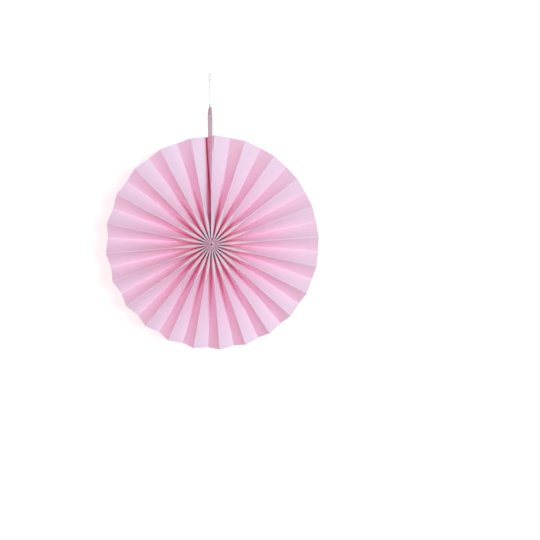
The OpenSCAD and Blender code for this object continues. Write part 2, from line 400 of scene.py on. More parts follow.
def fold_line_tree():
    """Point of a fold line by its number and height: lines 0 and the last are free edges on the cards."""
    tree = bpy.data.node_groups.new("fold_line", "GeometryNodeTree")
    add_inputs(tree, ("Height", "Line") + FOLD_INPUTS)
    for name, kind in (("Point", "NodeSocketVector"), ("Along", "NodeSocketVector"),
                       ("Chord", "NodeSocketFloat"), ("Depth", "NodeSocketFloat")):
        tree.interface.new_socket(name=name, in_out="OUTPUT", socket_type=kind)
    bench = Bench(tree)
    source = bench.node("NodeGroupInput")
    height, line = source.out("Height"), source.out("Line")
    rim, creases, width = source.out("Rim Radius"), source.out("Creases"), source.out("Panel Width")
    swing, twist = source.out("Opening Swing"), source.out("Seam Twist")
    off = SEAM_PINCH + (source.out("Panel Offset") - SEAM_PINCH) * bench.between(height, *SEAM_PINCH_RUN)
    turn = twist * height / rim
    sine, cosine = bench.maths("SINE", turn), bench.maths("COSINE", turn)
    half = width * 0.5
    front_x = half * sine + off * cosine
    front_y = off * sine - half * cosine
    seam_angle = bench.maths("ARCTAN2", front_x, height)
    open_angle = 2 * math.pi - seam_angle * 2
    gaps = creases - 1
    share = (line - 1) / gaps
    phase = share * (2 * math.pi)
    opened = share + swing * bench.maths("SINE", phase) / (2 * math.pi)
    widening = 1 + swing * bench.maths("COSINE", phase)
    radius = height / bench.maths("COSINE", seam_angle)
    chord = radius * 2 * bench.maths("SINE", open_angle * widening / gaps * 0.5)
    depth = bench.maths("SQRT", width * width - chord * chord)
    turned = seam_angle + open_angle * opened
    middle = (0 - front_y - depth * 0.5) * (share * 2 - 1)
    odd = bench.maths("FLOORED_MODULO", line, 2)
    place_y = middle + depth * (0.5 - odd)
    turned_sine, turned_cosine = bench.maths("SINE", turned), bench.maths("COSINE", turned)
    along = bench.combine(turned_cosine, 0.0, 0 - turned_sine)
    crease = bench.combine(radius * turned_sine, place_y, radius * turned_cosine)
    lift = (line > 0.5) * (line < 1.5) * bench.between(height, *FRONT_LIFT_RUN) * FRONT_LIFT
    lift = lift - (line > creases - 0.5) * bench.between(height, *BACK_LIFT_RUN) * BACK_LIFT
    crease = bench.moved(crease, along, lift)
    side = 1 - (line > 0.5) * 2
    free = bench.combine(
        (off * cosine - half * sine) * side, (off * sine + half * cosine) * side, height)
    is_free = (line < 0.5) + (line > creases + 0.5)
    point = bench.node("ShaderNodeMix", {"data_type": "VECTOR"}, {0: is_free, 4: crease, 5: free}, output=1)
    bench.node("NodeGroupOutput", None, {
        "Point": point, "Along": along, "Chord": chord, "Depth": depth})
    return tree


def pleated_paper_tree(pleat):
    """The whole strip: a grid of points laid on its folds, given a thickness and pierced for the binding thread."""
    tree, bench, source = piece_tree("pleated_paper", PAPER_INPUTS)
    creases, width, thickness = source.out("Creases"), source.out("Panel Width"), source.out("Thickness")
    hub, rim = source.out("Hub Height"), source.out("Rim Radius")
    last_column = (2 * pleat.pleats + 1) * COLUMNS_PER_PANEL
    grid = bench.node("GeometryNodeMeshGrid", None, {
        "Size X": 1.0, "Size Y": 1.0, "Vertices X": last_column + 1, "Vertices Y": ROWS})
    right, up, _ = bench.parts(grid.out("UV Map"))
    column = bench.maths("ROUND", right * last_column)
    height = hub + (rim - hub) * up ** ROW_POWER

    # Panel, place across it, and the fold line that is nearest
    panel = bench.maths("MINIMUM", bench.maths("FLOOR", column / COLUMNS_PER_PANEL), creases)
    step = column - panel * COLUMNS_PER_PANEL
    second = step > HALF_COLUMNS + 0.5
    near = step + second * (COLUMNS_PER_PANEL - step * 2)
    share = (near / HALF_COLUMNS) ** COLUMN_POWER * MIDDLE_SHARE
    line = panel + second
    side = 1 - second * 2
    signed = share * side
    across = second + signed
    is_crease = (line > 0.5) * (line < creases + 0.5)
    is_open = (panel > 0.5) * (panel < creases - 0.5)
    group = fold_line_tree()

    def fold(number):
        values = {name: source.out(name) for name in FOLD_INPUTS}
        return bench.node("GeometryNodeGroup", {"node_tree": group}, {"Height": height, "Line": number, **values})

    before, at, after = fold(line - 1), fold(line), fold(line + 1)

    # Straight across the panels, with a short round at each fold
    soft = bench.maths("MAXIMUM", is_crease * ROUND_SHARE, LEAST_ROUND)
    inside = share < soft
    run = (signed + soft) / (soft * 2)
    to_before = bench.maths("MAXIMUM", 0 - signed, 0.0)
    to_before = to_before + inside * (soft * (1 - run) ** 2 - to_before)
    to_after = bench.maths("MAXIMUM", signed, 0.0)
    to_after = to_after + inside * (soft * run ** 2 - to_after)
    point = bench.moved(at, bench.way(at, before), to_before)
    point = bench.moved(point, bench.way(at, after), to_after)

    # The last panel runs down beside the seam as a narrow gutter before it swings out to its ridge
    valley, ridge, edge = fold(creases), fold(creases - 1), fold(creases + 1)
    gutter = (panel > creases - 1.5) * (panel < creases - 0.5) * bench.between(height, *GUTTER_RUN)
    rise = 1 - across
    up_seam = bench.way(valley, edge)
    to_ridge = bench.way(valley, ridge)
    near_pull, far_pull = [
        bench.moved(bench.scaled(up_seam, inward), to_ridge, outward) for inward, outward in GUTTER_PULLS]
    curve = bench.moved(valley, near_pull, 3 * across * across * rise)
    curve = bench.moved(curve, far_pull, 3 * across * rise * rise)
    curve = bench.moved(curve, to_ridge, rise * rise * rise)
    point = bench.moved(point, bench.way(point, curve), gutter)

    # The loop that the paper makes at a fold, as wide as its neighbours leave room for
    fill = PACKED_FILL - bench.between(height, *FILL_RUN) * (PACKED_FILL - OPEN_FILL)
    room = bench.maths("MAXIMUM", at.out("Chord") * fill - thickness * 0.5, 0.0)
    widest = source.out("Fold Bulge") * (1 - bench.between(height, *BULGE_RUN) * BULGE_LOSS)
    sharper = 1 - (1 - bench.maths("FLOORED_MODULO", line, 2)) * bench.between(height, *FILL_RUN) * VALLEY_LOSS
    loop = bench.maths("MINIMUM", widest * sharper, room)
    reach = share * width / (loop * ARCH_SHARE + ARCH_START)
    loop = loop * side * is_crease * is_open * reach * bench.maths("EXPONENT", 1 - reach) * (1 - (share * 2) ** 4)
    point = bench.moved(point, at.out("Along"), loop)

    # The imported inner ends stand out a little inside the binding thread
    ring = 1 + (1 - bench.between(height, *HUB_RING_RUN)) * HUB_RING_RISE
    point = bench.vectors("MULTIPLY", point, bench.combine(1.0, ring, 1.0))
    sheet = bench.node("GeometryNodeSetPosition", None, {"Geometry": grid, "Position": point})

    # A slight bend of each open panel
    wave = noise(bench, bench.combine(panel * BOW_SEED_STEP, height * BOW_RUN, 0.0), 1.0, 1.0)
    bend = (wave - 0.5) * 2 * source.out("Panel Bow") * is_open * share * (1 - share) * 4 * height / rim
    normal = bench.node("GeometryNodeInputNormal")
    sheet = bench.node("GeometryNodeSetPosition", None, {"Geometry": sheet, "Offset": bench.scaled(normal, bend)})

    # What the material reads: place on the flat strip, and distance from the nearest fold
    flat = bench.combine((panel + across) * width, height, 0.0)
    sheet = bench.stored(sheet, "flat", flat, "FLOAT_VECTOR")
    sheet = bench.stored(sheet, "fold", share * width)

    # Stitch holes for the binding thread
    pierced = (bench.maths("ABSOLUTE", across - 0.5) < STITCH_SPAN) * (
        bench.maths("ABSOLUTE", height - source.out("Stitch Radius") - STITCH_SHIFT) < STITCH_REACH)
    sheet = bench.node("GeometryNodeDeleteGeometry", {"domain": "FACE"}, {"Geometry": sheet, "Selection": pierced})

    # Both faces and the cut edges, and how deep in its slot each point of a face lies, the value from which the
    # material paints shade
    sheet = bench.node(
        "GeometryNodeSetPosition", None, {"Geometry": sheet, "Offset": bench.scaled(normal, thickness * -0.5)})
    odd = bench.maths("FLOORED_MODULO", panel, 2)
    from_ridge = odd * across + (1 - odd) * (1 - across)
    slot = at.out("Depth") / (at.out("Chord") * 2)
    faces = [
        bench.node("GeometryNodeExtrudeMesh", {"mode": "FACES"}, {
            "Mesh": sheet, "Offset Scale": thickness, "Individual": False}),
        bench.node("GeometryNodeFlipFaces", None, {"Mesh": sheet})]
    # Value of the painted shade on each face: it grows towards the face's valleys, and the gutter adds more on the
    # front
    for i, (share_down, gutter_shade) in enumerate(((from_ridge, gutter * GUTTER_SHADE_WEIGHT), (1 - from_ridge, 0.0))):
        faces[i] = bench.stored(faces[i], "deep", share_down ** DEEP_POWER * (slot + gutter_shade))
    body = bench.node("GeometryNodeJoinGeometry", None, {"Geometry": faces})
    body = bench.node("GeometryNodeMergeByDistance", None, {"Geometry": body, "Distance": JOIN_DISTANCE})
    finish_tree(bench, body, source)
    return tree


# Twisted thread as a node tree

PROFILE_POINTS = 18
PLIES = 3
GROOVE = 0.2


def twisted_thread_tree():
    """A line of points becomes a thread of twisted plies."""
    tree, bench, source = piece_tree("twisted_thread", ("Radius", "Lay Length"))
    curve = bench.node("GeometryNodeMeshToCurve", None, {"Mesh": source.out("Geometry")})
    run = bench.node("GeometryNodeSplineParameter").out("Length")
    curve = bench.node("GeometryNodeSetCurveTilt", None, {
        "Curve": curve, "Tilt": run * (2 * math.pi) / source.out("Lay Length")})
    ring = bench.node("GeometryNodeCurvePrimitiveCircle", None, {
        "Resolution": PROFILE_POINTS, "Radius": source.out("Radius")})
    place = bench.node("GeometryNodeInputPosition")
    right, up, _ = bench.parts(place)
    around = bench.maths("ARCTAN2", up, right)
    crest = bench.maths("ABSOLUTE", bench.maths("COSINE", around * (PLIES / 2)))
    ring = bench.stored(ring, "ply", crest)
    held = bench.node("GeometryNodeInputNamedAttribute", {"data_type": "FLOAT"}, {"Name": "ply"})
    ring = bench.node("GeometryNodeSetPosition", None, {
        "Geometry": ring, "Position": bench.scaled(place, held * GROOVE + (1 - GROOVE))})
    body = bench.node("GeometryNodeCurveToMesh", None, {
        "Curve": curve, "Profile Curve": ring, "Fill Caps": True})
    finish_tree(bench, body, source)
    return tree


def grown(piece, tree, values):
    """Runs a node tree on a piece and keeps the result as its plain mesh."""
    modifier = piece.modifiers.new(tree.name, "NODES")
    modifier.node_group = tree
    names = {item.name: item.identifier for item in tree.interface.items_tree if item.in_out == "INPUT"}
    for name, value in values.items():
        modifier[names[name]] = value
    evaluated = piece.evaluated_get(bpy.context.evaluated_depsgraph_get())
    mesh = bpy.data.meshes.new_from_object(evaluated)
    piece.modifiers.clear()
    piece.data = mesh
    mesh.name = piece.name
    if not mesh.polygons:
        raise RuntimeError(piece.name + " came out empty")
    return piece


def new_piece(name, data):
    """A new object in the scene: a mesh, a lamp or a camera."""
    piece = bpy.data.objects.new(name, data)
    bpy.context.scene.collection.objects.link(piece)
    return piece


# Materials

# Fineness of each noise
PAPER_CLOUD, PAPER_GRAIN = 26.0, 1900.0
CARD_CLOUD = 60.0
TAPE_BUBBLES = 420.0
COTTON_HAIR, COTTON_PATCH = 5200.0, 180.0
# Strength and depth of each relief
PAPER_RELIEF = (0.25, 0.12 * MM)
CARD_RELIEF = (0.3, 0.1 * MM)
TAPE_RELIEF = (0.2, 0.05 * MM)
COTTON_RELIEF = (0.5, 0.05 * MM)
# Where the paper's tints begin and are full: by depth in a slot (painted shade), distance from a fold, or height on a
# panel (painted shade over the packed folds, painted highlight on the inner ends)
DEEP_SHADE_RUN = (0.8, 4.0)
NARROW_SHADE_RUN = (2.6, 6.5)
NARROW_SHADE_SHARE = 0.8
WORN_RUN = (0.0, 0.5 * MM)
WORN_DEEP_RUN = (0.15, 0.5)
WORN_SHARE = 0.2
PACKED_SHADE_RUN = (8 * MM, 13 * MM)
PACKED_SHADE_SHARE = 0.75
RING_RUN = (3.4 * MM, 4.2 * MM)
# Fineness of the fibres along each axis
PAPER_FIBRES = (2600.0, 700.0, 1.0)
FACE_FIBRES = (900.0, 900.0, 220.0)
CORE_FIBRES = (2400.0, 2400.0, 300.0)
# Distances from the rim between which the painted shade of the seam's gap in the cards' cut edges changes
GAP_SHADE_FADE = (-28 * MM, -8 * MM)
GAP_SHADE_END = (-2 * MM, 1 * MM)
BUBBLE_RUN = (0.15, 0.4)
BUBBLE_TONE = (0.94, 0.92, 0.88)
# Painted shade in the grooves between a thread's plies: where it begins and is full, and how much it darkens
GROOVE_SHADE_RUN = (0.0, 0.6)
GROOVE_SHADE_TONE = (0.45, 0.42, 0.42)


def empty_bench(block):
    """The bench of a material or a world, with nothing on it yet."""
    block.use_nodes = True
    block.node_tree.nodes.clear()
    return Bench(block.node_tree)


def new_material(name):
    """A material and its empty bench."""
    material = bpy.data.materials.new(name)
    return material, empty_bench(material)


def finish_material(bench, values):
    """The Principled shader of a material, and its output."""
    shader = bench.node("ShaderNodeBsdfPrincipled", None, values)
    bench.node("ShaderNodeOutputMaterial", None, {"Surface": shader})


def noise(bench, vector, scale, detail=3.0, stretch=None):
    """Noise on a vector, drawn out along an axis if stretch is given."""
    if stretch:
        vector = bench.vectors("MULTIPLY", vector, stretch)
    return bench.node("ShaderNodeTexNoise", None, {"Vector": vector, "Scale": scale, "Detail": detail})


def varied(value, *changes):
    """A value that noises move up and down, each by an amount of its own."""
    for source, amount in changes:
        value = value + (source - 0.5) * amount
    return value


def bump(bench, height, strength, distance):
    """A fine relief for a shader's normal."""
    return bench.node("ShaderNodeBump", None, {"Strength": strength, "Distance": distance, "Height": height})


def attribute(bench, name, output="Fac"):
    """A value that the piece's own mesh keeps."""
    return bench.node("ShaderNodeAttribute", {"attribute_name": name}).out(output)


def paper_material(pleat):
    """Matt dyed paper: cloudy dye, fine fibres and rubbed folds, with painted shade that turns the deep folds at the
    hub and the seam's gutter dark red, painted shade over the packed folds round the hub, and a painted highlight on
    the inner ends.
    """
    material, bench = new_material("pink_paper")
    flat = attribute(bench, "flat", "Vector")
    fold, deep = attribute(bench, "fold"), attribute(bench, "deep")
    cloud = noise(bench, flat, PAPER_CLOUD)
    fibre = noise(bench, flat, 1.0, 4.0, PAPER_FIBRES)
    grain = noise(bench, flat, PAPER_GRAIN, 2.0)
    # Painted shade: deep in a slot the paper turns dark red, for the light that the slot loses
    tone = bench.mixed(bench.between(deep, *DEEP_SHADE_RUN), pleat.paper, pleat.painted_fold_shade)
    # Painted shade: the narrowest folds and the seam's gutter go near-black red
    tone = bench.mixed(bench.between(deep, *NARROW_SHADE_RUN) * NARROW_SHADE_SHARE, tone, pleat.narrowest_shade)
    worn = (1 - bench.between(fold, *WORN_RUN)) * (1 - bench.between(deep, *WORN_DEEP_RUN)) * WORN_SHARE
    tone = bench.mixed(worn, tone, pleat.worn_fold)
    height = bench.parts(flat)[1]
    # Painted shade over the packed folds round the hub
    packed_hub_shade = (1 - bench.between(height, *PACKED_SHADE_RUN)) * PACKED_SHADE_SHARE
    tone = bench.mixed(packed_hub_shade, tone, pleat.packed_hub_shade)
    # Painted highlight on the inner ends at the hub, which covers the painted shade there
    ring = 1 - bench.between(height, *RING_RUN)
    tone = bench.mixed(ring, tone, pleat.hub_ring_highlight)
    shade = bench.node("ShaderNodeHueSaturation", None, {
        "Saturation": varied(1, (cloud, 0.10), (fibre, 0.12)),
        "Value": varied(1, (cloud, 0.03), (fibre, 0.06)), "Color": tone})
    relief = bump(bench, fibre * 0.6 + grain * 0.4, *PAPER_RELIEF)
    surface = bench.node("ShaderNodeBsdfPrincipled", None, {
        "Base Color": shade, "Roughness": varied(0.62, (grain, 0.12)), "Normal": relief,
        "Specular IOR Level": 0.35})
    through = bench.node("ShaderNodeBsdfTranslucent", None, {"Color": rgba(pleat.glow)})
    both = bench.node("ShaderNodeMixShader", None, {0: pleat.translucency, 1: surface, 2: through})
    bench.node("ShaderNodeOutputMaterial", None, {"Surface": both})
    return material


def card_material(name, tone, fibres, painted_shade=None):
    """Card stock: faint cloud and fibres; painted shade, when given, darkens the cut edges just below the rim for the
    seam's narrow gap, then fades to a second colour further down.
    """
    material, bench = new_material(name)
    place = bench.place()
    # Painted shade on the cut edges below the rim, fading to a further colour lower down
    if painted_shade:
        rim, near, far = painted_shade
        height = bench.parts(place)[2]
        gap_shade = bench.mixed(bench.between(height, *(rim + way for way in GAP_SHADE_FADE)), far, near)
        tone = bench.mixed(bench.between(height, *(rim + way for way in GAP_SHADE_END)), gap_shade, tone)
    cloud = noise(bench, place, CARD_CLOUD)
    fibre = noise(bench, place, 1.0, 4.0, fibres)
    shade = bench.node("ShaderNodeHueSaturation", None, {
        "Saturation": varied(1, (cloud, 0.15)),
        "Value": varied(1, (cloud, 0.06), (fibre, 0.14)), "Color": rgba(tone)})
    finish_material(bench, {
        "Base Color": shade, "Roughness": varied(0.66, (fibre, 0.15)),
        "Normal": bump(bench, fibre, *CARD_RELIEF), "Specular IOR Level": 0.35})
    return material


def tape_material(tone):
    """Double-sided adhesive tape: smooth, with small trapped bubbles."""
    material, bench = new_material("adhesive")
    place = bench.place()
    bubble = bench.node("ShaderNodeTexVoronoi", None, {"Vector": place, "Scale": TAPE_BUBBLES})
    film = bench.between(bubble, *BUBBLE_RUN)
    shade = bench.mixed(film, BUBBLE_TONE, tone)
    finish_material(bench, {
        "Base Color": shade, "Roughness": 0.28 + film * 0.15, "Normal": bump(bench, film, *TAPE_RELIEF)})
    return material


def cotton_material(name, tone, painted_shade=None):
    """Twisted cotton: painted shade in the grooves between the plies, fine hairs across them, and painted shade on
    the lower end where it is tied round the tab.
    """
    material, bench = new_material(name)
    place = bench.place()
    ply = attribute(bench, "ply")
    hair = noise(bench, place, COTTON_HAIR)
    patch = noise(bench, place, COTTON_PATCH)
    # Painted shade in the grooves between the plies
    groove_shade = [part * share for part, share in zip(tone, GROOVE_SHADE_TONE)]
    shade = bench.mixed(bench.between(ply, *GROOVE_SHADE_RUN), groove_shade, tone)
    # Painted shade on the thread's tied end, below a given height
    if painted_shade:
        low, high, shade_colour = painted_shade
        height = bench.parts(place)[2]
        shade = bench.mixed(bench.between(height, low, high), shade_colour, shade)
    shade = bench.node("ShaderNodeHueSaturation", None, {
        "Value": varied(1, (hair, 0.35), (patch, 0.12)), "Color": shade})
    finish_material(bench, {
        "Base Color": shade, "Roughness": varied(0.82, (hair, 0.2)),
        "Normal": bump(bench, hair, *COTTON_RELIEF), "Specular IOR Level": 0.25})
    return material


# Lines of points for the threads

# Route of the hanging thread in millimetres: to the right of the tab, towards the front, up from the hole's centre
THREAD_ROUTE = (
    (0.35, 0, 15), (0.95, 0, 12.8), (1.3, 0, 10), (1.4, 0, 6), (1.4, 0, 3.05), (1.2, 0, 2.35),
    (0.7, 0, 1.85), (0, 0, 1.65), (-0.7, 0, 1.85), (-1.2, 0, 2.35), (-1.4, 0, 3.05), (-1.4, 0, 6),
    (-1.3, 0, 10), (-0.95, 0, 12.8), (-0.35, 0, 15), (-0.1, 0, 17), (0, 0, 20), (0, 0, 27), (0, 0, 34),
    (0, 0, 41), (0, 0, 48), (-0.6, 0, 50), (-1.5, 0, 52.4), (-1.8, 0, 55), (-1.2, 0, 57.1), (0, 0, 58),
    (1.2, 0, 57.1), (1.8, 0, 55), (1.5, 0.1, 52.4), (0.9, 0.4, 50.2), (0.45, 0.5, 48))
# Heights above the hole's centre, in millimetres: where the painted shade on the tied end fades, and the two knots
TIED_SHADE_RUN = (11.0, 14.5)
LOWER_KNOT = 15.4
UPPER_KNOT = 48.4
POINTS_PER_STRETCH = 14
RING_POINTS = 180
KNOT_POINTS = 150
KNOT_SPREAD = 3.0
KNOT_PINCH = 0.9
KNOT_STRAND = 0.42


def tab_place(fan, route_point):
    """A route point, in millimetres, placed on the tab."""
    right, front, up = route_point
    turned = Matrix.Rotation(fan.pleat.seam_twist, 3, "Z") @ Vector((right, -front, 0.0))
    return turned * MM + Vector((0.0, 0.0, hole_height(fan) + up * MM))


def smooth_line(points):
    """A smooth line through points, with even steps in each stretch."""
    line = []
    for i in range(len(points) - 1):
        p = [points[max(0, min(len(points) - 1, i + k))] for k in (-1, 0, 1, 2)]
        for s in range(POINTS_PER_STRETCH):
            t = s / POINTS_PER_STRETCH
            line.append(0.5 * (
                2 * p[1] + (p[2] - p[0]) * t + (2 * p[0] - 5 * p[1] + 4 * p[2] - p[3]) * t * t
                + (3 * p[1] - p[0] - 3 * p[2] + p[3]) * t ** 3))
    return line + [points[-1]]


def turns(count):
    """Even angles once round."""
    return [2 * math.pi * k / count for k in range(count)]


def knot_line(fan, up, size):
    """A closed overhand knot round a point of the hanging thread."""
    centre = tab_place(fan, (0, 0, up))
    return [
        centre + size / KNOT_SPREAD * Vector((
            math.sin(t) + 2 * math.sin(2 * t), -math.sin(3 * t) * KNOT_PINCH, math.cos(t) - 2 * math.cos(2 * t)))
        for t in turns(KNOT_POINTS)]


def thread_piece(name, line, closed, radius, lay, material, tree):
    """A piece of twisted thread along a line."""
    edges = [(i, i + 1) for i in range(len(line) - 1)] + ([(len(line) - 1, 0)] if closed else [])
    mesh = bpy.data.meshes.new(name)
    mesh.from_pydata(line, edges, [])
    return grown(new_piece(name, mesh), tree, {"Radius": radius, "Lay Length": lay, "Material": material})


# End cards and adhesive

TAB_COLUMNS = (-1.0, -0.72, -0.4, 0.0, 0.4, 0.72, 1.0)
TAPE_COLUMNS = (-1.0, 0.0, 1.0)
TAB_ARC_STEPS = 28
STRIP_ROWS = 40
TAB_FOOT = 15 * MM
BEVEL_STEPS = 2
CARD_SHARP = math.radians(40)
PAPER_SHARP = math.radians(50)


def strip_outline(columns, half, low, high):
    """Flat points and faces of a strip, as (across, height); the columns are shares of half its width."""
    count = len(columns)
    points = [
        (column * half, low + (high - low) * row / STRIP_ROWS)
        for row in range(STRIP_ROWS + 1) for column in columns]
    firsts = [row * count + k for row in range(STRIP_ROWS) for k in range(count - 1)]
    return points, [(a, a + 1, a + 1 + count, a + count) for a in firsts]


def card_outline(fan, half, start, hole_z):
    """Flat points and faces of a card: a strip, and round its hole the end of the tab."""
    points, faces = strip_outline(TAB_COLUMNS, half, start, hole_z - TAB_FOOT)
    outer = list(range(len(points) - len(TAB_COLUMNS), len(points)))
    for step in range(TAB_ARC_STEPS + 1):
        turn = math.pi * step / TAB_ARC_STEPS
        outer.append(len(points))
        points.append((half * math.cos(turn), hole_z + half * math.sin(turn)))
    inner = []
    for index in outer:
        across, height = points[index]
        inner.append(len(points))
        reach = fan.card.hole / 2 / math.hypot(across, height - hole_z)
        points.append((across * reach, hole_z + (height - hole_z) * reach))
    for k in range(len(outer)):
        n = (k + 1) % len(outer)
        faces.append((outer[k], outer[n], inner[n], inner[k]))
    return points, faces


def seam_layer(fan, name, outline, off_a, off_b, materials, bevel):
    """A layer of the seam between two distances from its plane; cut edges take the second material."""
    points, faces = outline
    work = bmesh.new()
    sides = [[work.verts.new(seam_point(fan, z, x, off)) for x, z in points] for off in (off_a, off_b)]
    edges = []
    for face in faces:
        work.faces.new([sides[0][i] for i in face])
        work.faces.new([sides[1][i] for i in reversed(face)])
        edges += zip(face, face[1:] + face[:1])
    uses = Counter(frozenset(edge) for edge in edges)
    for a, b in edges:
        if uses[frozenset((a, b))] == 1:
            wall = work.faces.new((sides[0][b], sides[0][a], sides[1][a], sides[1][b]))
            wall.material_index = 1
    bmesh.ops.recalc_face_normals(work, faces=work.faces)
    rims = [e for e in work.edges if len({f.material_index for f in e.link_faces}) == 2]
    if bevel:
        bmesh.ops.bevel(
            work, geom=rims, offset=bevel, segments=BEVEL_STEPS, profile=0.5, affect="EDGES", material=1)
    mesh = bpy.data.meshes.new(name)
    work.to_mesh(mesh)
    work.free()
    for material in materials:
        mesh.materials.append(material)
    mesh.shade_smooth()
    mesh.set_sharp_from_angle(angle=CARD_SHARP)
    return new_piece(name, mesh)


# Stage

CLIP_RANGE = (0.01, 100.0)
BACKDROP_REACH = 4.0
BACKDROP_TOP = 2.0
SWEEP_RADIUS = 0.35
SWEEP_STEPS = 16
BACKDROP_SPECKS = 900.0
BACKDROP_SPECK_SHADE = 0.985
# Share of white that the backdrop adds to its lit colour, and the spot behind the hub's hole where that white is cut
# back: a painted shadow that keeps the hole dark
BACKDROP_GLOW = 0.77
SHADOW_SPOT_RUN = (8 * MM, 20 * MM)
SHADOW_SPOT_LIGHT = 0.1
LIGHT_BOUNCES = 16
# Steepness at which the light from all round begins to fade and is weakest, and how much of it is lost there
BAND_RUN = (0.1, 0.5)
BAND_LOSS = 0.9
BLACK = (0.0, 0.0, 0.0)
WHITE = (1.0, 1.0, 1.0)


def direction(azimuth, elevation):
    """Unit vector from the fan's centre, turned to the right of its axis and raised."""
    return Vector((
        math.sin(azimuth) * math.cos(elevation),
        -math.cos(azimuth) * math.cos(elevation),
        math.sin(elevation)))


# Operators

class PAPER_FAN_OT_stage(bpy.types.Operator):
    """Make the camera, the backdrop with its floor, and the light"""

    bl_idname = "paper_fan.stage"
    bl_label = "Camera, Backdrop and Light"

    def execute(self, context):
        fan = context.scene.paper_fan
        stage = fan.stage
        self.make_camera(context, fan)
        self.make_backdrop(stage)
        self.make_light(context, stage)
        context.scene.view_settings.view_transform = "Standard"
        context.scene.cycles.max_bounces = LIGHT_BOUNCES
        context.scene.cycles.diffuse_bounces = LIGHT_BOUNCES
        return {"FINISHED"}

    def make_camera(self, context, fan):
        stage = fan.stage
        pixels = stage.rim_pixels * stage.distance / fan.pleat.rim_radius
        camera = bpy.data.cameras.new("photo_camera")
        camera.sensor_width = SENSOR_MM
        camera.lens = pixels * SENSOR_MM / IMAGE_SIDE
        camera.clip_start, camera.clip_end = CLIP_RANGE
        holder = new_piece("photo_camera", camera)
        back = direction(stage.azimuth, stage.elevation)
        hub = Vector((0.0, PAPER_FRONT, 0.0))
        ahead = (hub - back * stage.distance).normalized()
        right = ahead.cross(Vector((0, 0, 1))).normalized()
        looking = Matrix((right, right.cross(ahead), -ahead)).transposed()
        looking = looking @ Matrix.Rotation(stage.roll, 3, "Z")
        half = IMAGE_SIDE / 2
        seen = Vector((stage.hub_x - half, half - stage.hub_y, -pixels)).normalized()
        aim = seen.rotation_difference(Vector((0, 0, -1))).to_matrix()
        holder.matrix_world = Matrix.Translation(back * stage.distance) @ (looking @ aim).to_4x4()
        context.scene.camera = holder

    def make_backdrop(self, stage):
        profile = [(-BACKDROP_REACH, stage.floor)]
        for k in range(SWEEP_STEPS + 1):
            turn = math.pi / 2 * k / SWEEP_STEPS
            profile.append((
                stage.wall - SWEEP_RADIUS * (1 - math.sin(turn)), stage.floor + SWEEP_RADIUS * (1 - math.cos(turn))))
        profile.append((stage.wall, BACKDROP_TOP))
        mesh = bpy.data.meshes.new("backdrop")
        points = [(x, y, z) for y, z in profile for x in (-BACKDROP_REACH, BACKDROP_REACH)]
        faces = [(2 * i, 2 * i + 1, 2 * i + 3, 2 * i + 2) for i in range(len(profile) - 1)]
        mesh.from_pydata(points, [], faces)
        mesh.shade_smooth()
        mesh.materials.append(self.backdrop_material(stage))
        wall = new_piece("backdrop", mesh)
        wall.visible_diffuse = wall.visible_glossy = wall.visible_transmission = wall.visible_shadow = False

    def backdrop_material(self, stage):
        """Pale backdrop that the camera sees as white outside the fan's shadow, with a painted shadow spot behind the
        hub's hole, and that is open from behind.
        """
        material, bench = new_material("backdrop")
        place = bench.place()
        specks = noise(bench, place, BACKDROP_SPECKS)
        tone = bench.mixed(specks, stage.backdrop, [part * BACKDROP_SPECK_SHADE for part in stage.backdrop])
        body = bench.node("ShaderNodeBsdfDiffuse", None, {"Color": tone, "Roughness": 0.5})
        right, _, up = bench.parts(place)
        away = bench.maths("SQRT", right * right + up * up)
        # Painted shadow: less added white in a spot behind the hub's hole
        white = bench.shown_rays() * (bench.between(away, *SHADOW_SPOT_RUN) * (1 - SHADOW_SPOT_LIGHT) + SHADOW_SPOT_LIGHT)
        glow = bench.node("ShaderNodeEmission", None, {
            "Color": bench.mixed(white, BLACK, WHITE), "Strength": BACKDROP_GLOW})
        both = bench.node("ShaderNodeAddShader", None, {0: body, 1: glow})
        clear = bench.node("ShaderNodeBsdfTransparent")
        behind = bench.node("ShaderNodeNewGeometry").out("Backfacing")
        shown = bench.node("ShaderNodeMixShader", None, {0: behind, 1: both, 2: clear})
        bench.node("ShaderNodeOutputMaterial", None, {"Surface": shown})
        return material

    def make_light(self, context, stage):
        for side in ("key", "side", "rear"):
            lamp = bpy.data.lights.new(side + "_light", "AREA")
            lamp.shape = "RECTANGLE"
            lamp.size, lamp.size_y = stage.lamp_width, stage.lamp_height
            lamp.energy = getattr(stage, side + "_power")
            lamp.color = getattr(stage, side + "_tint")
            holder = new_piece(lamp.name, lamp)
            back = direction(getattr(stage, side + "_azimuth"), stage.lamp_elevation)
            holder.location = back * stage.lamp_distance
            holder.rotation_euler = back.to_track_quat("Z", "Y").to_euler()
        world = bpy.data.worlds.new("studio")
        bench = empty_bench(world)
        steep = bench.maths("ABSOLUTE", bench.parts(bench.place())[2])
        level = 1 - bench.between(steep, *BAND_RUN) * BAND_LOSS
        around = bench.node("ShaderNodeBackground", None, {
            "Color": rgba(stage.fill_tint), "Strength": level * stage.fill})
        white = bench.node("ShaderNodeBackground", None, {"Color": rgba(WHITE), "Strength": 1.0})
        both = bench.node("ShaderNodeMixShader", None, {0: bench.shown_rays(), 1: around, 2: white})
        bench.node("ShaderNodeOutputWorld", None, {"Surface": both})
        context.scene.world = world


